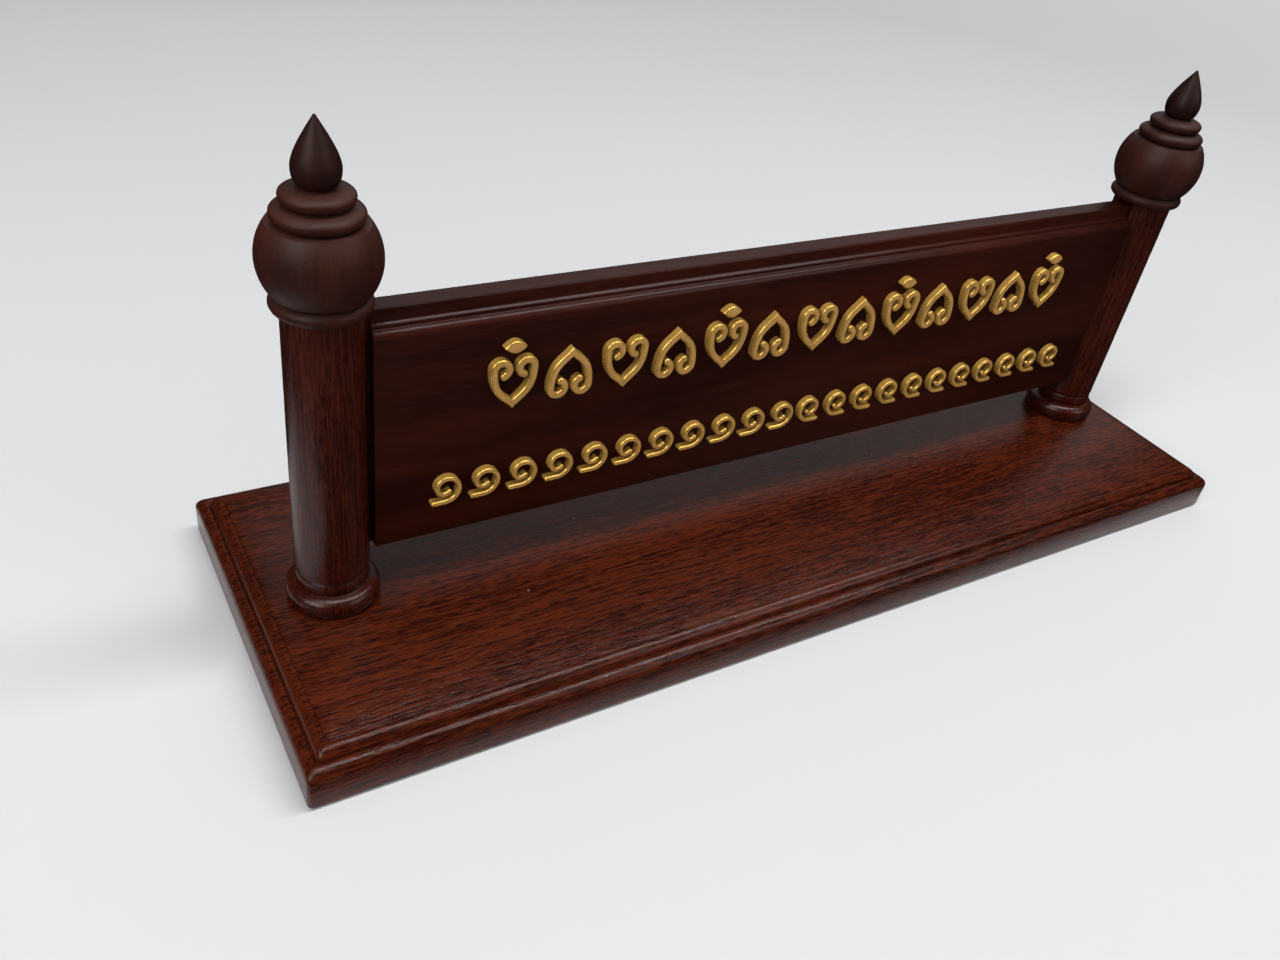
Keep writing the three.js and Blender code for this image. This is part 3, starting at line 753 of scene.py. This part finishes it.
def screw_steel(f):
    material, tree, shader, place = new_material("Zinc Plated Steel")
    if tree is None:
        return material
    patches = noise(tree, place, (400.0, 400.0, 400.0), 4.0, 0.6)
    patchy_metal(tree, shader, patches, f.steel, 0.6, (0.5, 0.35), 0.75)
    bump(tree, patches, 0.00002, 0.4, shader)
    return material


# ---- pieces ----

class NAMESTAND_OT_base_board(Operator):
    """Base board with a moulded edge, mortises for the posts and countersunk screw holes"""
    bl_idname = "name_stand.base_board"
    bl_label = "Base Board"

    def execute(self, context):
        s, f = settings(context)
        edge = base_edge(s, BASE_HIGH.z)
        low, high = BASE_LOW.copy(), BASE_HIGH.copy()
        low.z += s.foot_round
        high.z = edge[0][1]
        board = block("moulded_base_board", low, high)
        bpy.ops.object.mode_set(mode="EDIT")
        pick("FACE", lambda face: face.normal.z > 0.9)
        for (inset, z), (next_inset, next_z) in zip(edge, edge[1:]):
            if next_inset > inset:
                bpy.ops.mesh.inset(thickness=next_inset - inset, depth=next_z - z, use_even_offset=True)
            else:
                bpy.ops.mesh.extrude_region_move(TRANSFORM_OT_translate={"value": (0, 0, next_z - z)})
        pick("FACE", lambda face: face.normal.z < -0.9 and face.calc_center_median().z < low.z + s.arris)
        foot = arc(s.foot_round, s.foot_round, -s.foot_round, -s.foot_round, 0, 90, 6)
        for (inset, z), (next_inset, next_z) in zip(foot, foot[1:]):
            bpy.ops.mesh.inset(thickness=next_inset - inset, depth=z - next_z, use_even_offset=True)

        def is_mitre(line):
            a, b = line.verts[0].co, line.verts[1].co
            return a.x * b.x > 0 and a.y * b.y > 0 and (a - b).length > 1e-6

        pick("EDGE", is_mitre)
        bpy.ops.mesh.bevel(offset=s.mitre_round, segments=5, profile=0.5, affect="EDGES", clamp_overlap=True)
        close_up()
        soften(board, s.arris)
        carve(board, *[self.seat(s, x) for x in (POST_X, -POST_X)])
        hand_over(board, "base_board", "base_wood", base_wood(f), smooth=28)
        return {"FINISHED"}

    @staticmethod
    def seat(s, x):
        """What one post and its screw need cut through the base."""
        head = (SCREW_HIGH.x - SCREW_LOW.x) / 2 + s.fit
        hole, mortise = s.screw_shank + s.fit, s.tenon + s.fit
        floor = BASE_HIGH.z - s.tenon_length - s.fit
        below, above = BASE_LOW.z - OVERRUN, BASE_HIGH.z + OVERRUN
        profile = [(0, below), (head, below), (head, SCREW_LOW.z), (hole, SCREW_LOW.z + s.screw_head),
                   (hole, floor), (mortise, floor), (mortise, above), (0, above)]
        return turn_on_lathe("seat_cutter", profile, x, s.lathe_sides)


class NAMESTAND_OT_posts(Operator):
    """Two turned posts, each with a groove for the board and holes for the finial and the screw"""
    bl_idname = "name_stand.posts"
    bl_label = "Posts"

    def execute(self, context):
        s, f = settings(context)
        x, top = POST_X, POST_HIGH.z
        profile = post_profile(s, BASE_HIGH.z, top, SCREW_HIGH.z + OVERRUN, FINIAL_LOW.z - OVERRUN)
        left = turn_on_lathe("turned_left_post", profile, x, s.lathe_sides)
        tongue = (BOARD_HIGH.y - BOARD_LOW.y) / 2 - s.ledge - s.board_ovolo
        floor = x + s.pin + s.fit + s.pin_wall
        carve(left, block("groove_cutter", (floor, -tongue, BOARD_LOW.z - s.fit),
                          (x + s.shaft + OVERRUN, tongue, top + OVERRUN)))
        right = copy_piece(left, "turned_right_post")
        bpy.ops.transform.rotate(value=math.pi, orient_axis="Z", center_override=(0, 0, 0))
        settle()
        hand_over(left, "left_post", "post_wood", post_wood(f))
        hand_over(right, "right_post", "post_wood", post_wood(f))
        return {"FINISHED"}


class NAMESTAND_OT_finials(Operator):
    """Two turned finials: collar, ball, two discs and a pointed bud, with a pin below"""
    bl_idname = "name_stand.finials"
    bl_label = "Finials"

    def execute(self, context):
        s, f = settings(context)
        profile = finial_profile(s, FINIAL_LOW.z, POST_HIGH.z, FINIAL_HIGH.z)
        left = turn_on_lathe("turned_left_finial", profile, POST_X, s.lathe_sides)
        right = copy_across(left, "turned_right_finial")
        bud_foot = POST_HIGH.z + s.ball_rise + s.ball_above + 2 * s.disc_height + 3 * s.finial_groove
        hand_over(left, "left_finial", "finial_wood", finial_wood(f, bud_foot))
        hand_over(right, "right_finial", "finial_wood", finial_wood(f, bud_foot))
        return {"FINISHED"}


class NAMESTAND_OT_name_board(Operator):
    """Upright board, moulded along its top, with a tongue at each end"""
    bl_idname = "name_stand.name_board"
    bl_label = "Name Board"

    def execute(self, context):
        s, f = settings(context)
        front = BOARD_HIGH.y
        shoulder = -POST_X - s.shaft - s.fit
        section = board_section(s, BOARD_LOW.z, BOARD_HIGH.z, front)
        board = draw_line("upright_name_board", [(-shoulder, -depth, z) for depth, z in section])
        bpy.ops.mesh.edge_face_add()
        bpy.ops.mesh.extrude_region_move(TRANSFORM_OT_translate={"value": (2 * shoulder, 0, 0)})
        close_up()
        soften(board, s.board_soft, segments=3, angle=45)
        tongue = front - s.ledge - s.board_ovolo - s.fit
        strip = block("tongue_strip", (BOARD_LOW.x, -tongue, BOARD_LOW.z),
                      (BOARD_HIGH.x, tongue, BOARD_HIGH.z))
        carve(board, strip, operation="UNION")
        hand_over(board, "name_board", "board_wood", board_wood(f), smooth=28)
        return {"FINISHED"}


class NAMESTAND_OT_screws(Operator):
    """Two countersunk screws with a cross recess, up through the base into the posts"""
    bl_idname = "name_stand.screws"
    bl_label = "Screws"

    def execute(self, context):
        s, f = settings(context)
        head, low, high, x = (SCREW_HIGH.x - SCREW_LOW.x) / 2, SCREW_LOW.z, SCREW_HIGH.z, POST_X
        rim, arm, half, depth = 0.0002, 0.0018, 0.0004, 0.0011
        profile = [(0, low), (head - rim, low), (head, low + rim), (s.screw_shank, low + s.screw_head),
                   (s.screw_shank, high - s.screw_point), (0, high)]
        left = turn_on_lathe("left_countersunk_screw", profile, x, 48)
        carve(left,
              block("recess_cutter", (x - arm, -half, low - depth), (x + arm, half, low + depth)),
              block("recess_cutter", (x - half, -arm, low - depth), (x + half, arm, low + depth)))
        right = copy_across(left, "right_countersunk_screw")
        hand_over(left, "left_post_screw", "screw_steel", screw_steel(f))
        hand_over(right, "right_post_screw", "screw_steel", screw_steel(f))
        return {"FINISHED"}


def gilt_master(name, outline, node, s, f):
    """Cuts one ornament from sheet over its CAD node, bevels its front rim and gives its sides and rim a
    brighter copy of the gilt, a painted highlight.
    """
    low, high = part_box(node)
    middle = (low + high) / 2
    xs, zs = [p.x for p in outline], [p.y for p in outline]
    shift = Vector((middle.x - (min(xs) + max(xs)) / 2, middle.z - (min(zs) + max(zs)) / 2))
    piece = draw_line(name, [(p.x + shift.x, high.y, p.y + shift.y) for p in outline])
    bpy.ops.mesh.edge_face_add()
    bpy.ops.mesh.extrude_region_move(TRANSFORM_OT_translate={"value": (0, low.y - high.y, 0)})
    close_up()
    bpy.ops.object.mode_set(mode="EDIT")
    pick("EDGE", lambda line: all(v.co.y < low.y + 1e-6 for v in line.verts))
    bpy.ops.mesh.bevel(offset=s.gilt_rim, segments=4, profile=0.5, affect="EDGES", clamp_overlap=True)
    bpy.ops.object.mode_set(mode="OBJECT")
    piece.data.materials.append(gilt("Gilt Face", f.gilt_face, 0.40, 0.5))
    piece.data.materials.append(gilt("Gilt Side Highlight", f.gilt_side_highlight, 0.22, 0.7))
    bpy.ops.object.mode_set(mode="EDIT")
    # painted highlight: every face but the flat front, that is the sides and rim, gets the brighter gilt
    pick("FACE", lambda face: face.normal.y > -0.99)
    piece.active_material_index = 1
    bpy.ops.object.material_slot_assign()
    bpy.ops.object.mode_set(mode="OBJECT")
    return piece


def gilt_row(master, kind, flip):
    """Copies an ornament to the places of its like. flip(i, x) says how a copy is turned over."""
    low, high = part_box(f"{kind}_1")
    start = (low + high) / 2
    count = sum(1 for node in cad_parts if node.startswith(kind + "_"))
    pieces = [master]
    for i in range(2, count + 1):
        low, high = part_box(f"{kind}_{i}")
        middle = (low + high) / 2
        piece = copy_piece(master, f"gilt_{kind}_{i}")
        bpy.ops.transform.translate(value=middle - start)
        scale = flip(i, middle.x)
        if scale != (1, 1, 1):
            bpy.ops.transform.resize(value=scale, center_override=middle)
        settle()
        if scale != (1, 1, 1):
            bpy.ops.object.mode_set(mode="EDIT")
            bpy.ops.mesh.select_all(action="SELECT")
            bpy.ops.mesh.normals_make_consistent(inside=False)
            bpy.ops.object.mode_set(mode="OBJECT")
        pieces.append(piece)
    for i, piece in enumerate(pieces, 1):
        piece.visible_glossy = False  # the satin board hardly mirrors the gilt
        hand_over(piece, f"{kind}_{i}", "gilt", smooth=35)


class NAMESTAND_OT_heart_scrolls(Operator):
    """Upper row of heart scrolls, every second one upside down"""
    bl_idname = "name_stand.heart_scrolls"
    bl_label = "Heart Scrolls"

    def execute(self, context):
        s, f = settings(context)
        low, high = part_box("heart_scroll_1")
        line = heart_line(high.x - low.x, s.heart_height, s.heart_stroke, s.heart_eye)
        outline = band_outline(line, s.heart_stroke)
        master = gilt_master("gilt_heart_scroll_1", outline, "heart_scroll_1", s, f)
        gilt_row(master, "heart_scroll", lambda i, x: (1, 1, -1) if i % 2 == 0 else (1, 1, 1))
        return {"FINISHED"}


class NAMESTAND_OT_wave_scrolls(Operator):
    """Lower row of wave scrolls, mirrored about the middle"""
    bl_idname = "name_stand.wave_scrolls"
    bl_label = "Wave Scrolls"

    def execute(self, context):
        s, f = settings(context)
        low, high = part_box("wave_scroll_1")
        line = wave_line(high.x - low.x, high.z - low.z, s.wave_stroke)
        outline = band_outline(line, s.wave_stroke)
        master = gilt_master("gilt_wave_scroll_1", outline, "wave_scroll_1", s, f)
        gilt_row(master, "wave_scroll", lambda i, x: (-1, 1, 1) if x > 0 else (1, 1, 1))
        return {"FINISHED"}


class NAMESTAND_OT_leaves(Operator):
    """Small leaves over some of the heart scrolls"""
    bl_idname = "name_stand.leaves"
    bl_label = "Leaves"

    def execute(self, context):
        s, f = settings(context)
        low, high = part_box("leaf_1")
        master = gilt_master("gilt_leaf_1", leaf_outline(high.x - low.x, high.z - low.z), "leaf_1", s, f)
        gilt_row(master, "leaf", lambda i, x: (1, 1, 1))
        return {"FINISHED"}


class NAMESTAND_OT_stage(Operator):
    """Pale floor, soft studio light and the camera"""
    bl_idname = "name_stand.stage"
    bl_label = "Stage"

    def execute(self, context):
        scene = context.scene
        select_only()
        bpy.ops.mesh.primitive_plane_add(size=40.0, location=(0, 0, BASE_LOW.z))
        floor = name_piece("studio_floor")
        floor.data.materials.append(self.floor_finish())
        for softbox in SOFTBOXES:
            self.softbox(*softbox)
        scene.world = self.studio_air()

        camera_data = bpy.data.cameras.new("desk_view")
        camera_data.sensor_fit = "HORIZONTAL"
        camera_data.sensor_width = 36.0
        camera_data.lens = CAMERA_LENS
        camera = bpy.data.objects.new("desk_view", camera_data)
        camera.location = CAMERA_PLACE
        camera.rotation_euler = CAMERA_TURN
        scene.collection.objects.link(camera)
        scene.camera = camera
        scene.view_settings.view_transform = "Standard"
        return {"FINISHED"}

    @staticmethod
    def floor_finish():
        """Pale floor that fades into the air and can't be seen from below or underneath the stand.

        A polished piece mirrors it only close by, as in a dark room.
        """
        material, tree, shader, place = new_material("Pale Studio Floor")
        if tree is None:
            return material
        x, y, _ = split(tree, place)
        sides = larger(tree, spread(tree, x, -0.31, -0.26, 1.0, 0.0), spread(tree, x, 0.195, 0.21))
        ends = larger(tree, spread(tree, y, -0.072, -0.065, 1.0, 0.0), spread(tree, y, 0.07, 0.10))
        ray = put(tree, "ShaderNodeLightPath").outputs
        mirrored = times(tree, larger(tree, sides, ends), ray["Is Glossy Ray"])
        mottle = noise(tree, place, (3.0, 3.0, 3.0))
        tone = blend(tree, mottle, (0.66, 0.67, 0.68, 1), (0.70, 0.70, 0.71, 1))
        tree.links.new(blend(tree, mirrored, tone, (0.015, 0.015, 0.015, 1)), shader.inputs["Base Color"])
        shader.inputs["Roughness"].default_value = 0.6
        shader.inputs["Specular IOR Level"].default_value = 0.0

        distance = put(tree, "ShaderNodeVectorMath", operation="LENGTH")
        tree.links.new(place, distance.inputs[0])
        haze = times(tree, spread(tree, distance.outputs["Value"], 0.9, 3.0, 0.0, 0.72), ray["Is Camera Ray"])
        tree.links.new(haze, shader.inputs["Emission Strength"])
        shader.inputs["Emission Color"].default_value = AIR_COLOUR

        inside = BASE_HIGH - Vector((0.005, 0.005, 0))
        under = times(tree, *[math_node(tree, "LESS_THAN", math_node(tree, "ABSOLUTE", axis), limit)
                              for axis, limit in ((x, inside.x), (y, inside.y))])
        unseen = larger(tree, under, put(tree, "ShaderNodeNewGeometry").outputs["Backfacing"])
        tree.links.new(minus(tree, 1.0, unseen), shader.inputs["Alpha"])
        return material

    @staticmethod
    def studio_air():
        """Pale air behind the stand that polished pieces mirror only faintly."""
        world = bpy.data.worlds.new("Studio Air")
        world.use_nodes = True
        tree = world.node_tree
        air = tree.nodes["Background"]
        air.inputs["Color"].default_value = AIR_COLOUR
        ray = put(tree, "ShaderNodeLightPath").outputs
        dimmed = minus(tree, 0.25, times(tree, ray["Is Glossy Ray"], 0.225))
        tree.links.new(plus(tree, dimmed, times(tree, ray["Is Camera Ray"], 0.65)), air.inputs["Strength"])
        return world

    @staticmethod
    def softbox(name, place, target, width, height, watts):
        light = bpy.data.lights.new(name, "AREA")
        light.shape = "RECTANGLE"
        light.size, light.size_y, light.energy = width, height, watts
        lamp = bpy.data.objects.new(name, light)
        lamp.location = place
        lamp.visible_camera = False
        lamp.rotation_euler = (Vector(target) - Vector(place)).to_track_quat("-Z", "Y").to_euler()
        bpy.context.scene.collection.objects.link(lamp)


class NAMESTAND_PT_panel(Panel):
    """Sizes, finishes and pieces of the name stand"""
    bl_idname = "NAMESTAND_PT_panel"
    bl_label = "Name Stand"
    bl_space_type = "VIEW_3D"
    bl_region_type = "UI"
    bl_category = "Name Stand"

    def draw(self, context):
        column = self.layout.column()
        for operator in OPERATORS:
            column.operator(operator.bl_idname)
        for group in settings(context):
            box = self.layout.box().column()
            for key in type(group).__annotations__:
                box.prop(group, key)


OPERATORS = (
    NAMESTAND_OT_base_board,
    NAMESTAND_OT_posts,
    NAMESTAND_OT_finials,
    NAMESTAND_OT_name_board,
    NAMESTAND_OT_screws,
    NAMESTAND_OT_heart_scrolls,
    NAMESTAND_OT_wave_scrolls,
    NAMESTAND_OT_leaves,
    NAMESTAND_OT_stage,
)
CLASSES = (NameStandSizes, NameStandFinishes, *OPERATORS, NAMESTAND_PT_panel)


def register():
    for item in CLASSES:
        bpy.utils.register_class(item)
    bpy.types.Scene.name_stand_sizes = PointerProperty(type=NameStandSizes)
    bpy.types.Scene.name_stand_finishes = PointerProperty(type=NameStandFinishes)


def unregister():
    del bpy.types.Scene.name_stand_finishes
    del bpy.types.Scene.name_stand_sizes
    for item in reversed(CLASSES):
        bpy.utils.unregister_class(item)


def main():
    register()
    for operator in OPERATORS:
        group, name = operator.bl_idname.split(".")
        getattr(getattr(bpy.ops, group), name)()
    bpy.context.view_layer.update()


if __name__ == "__main__":
    main()
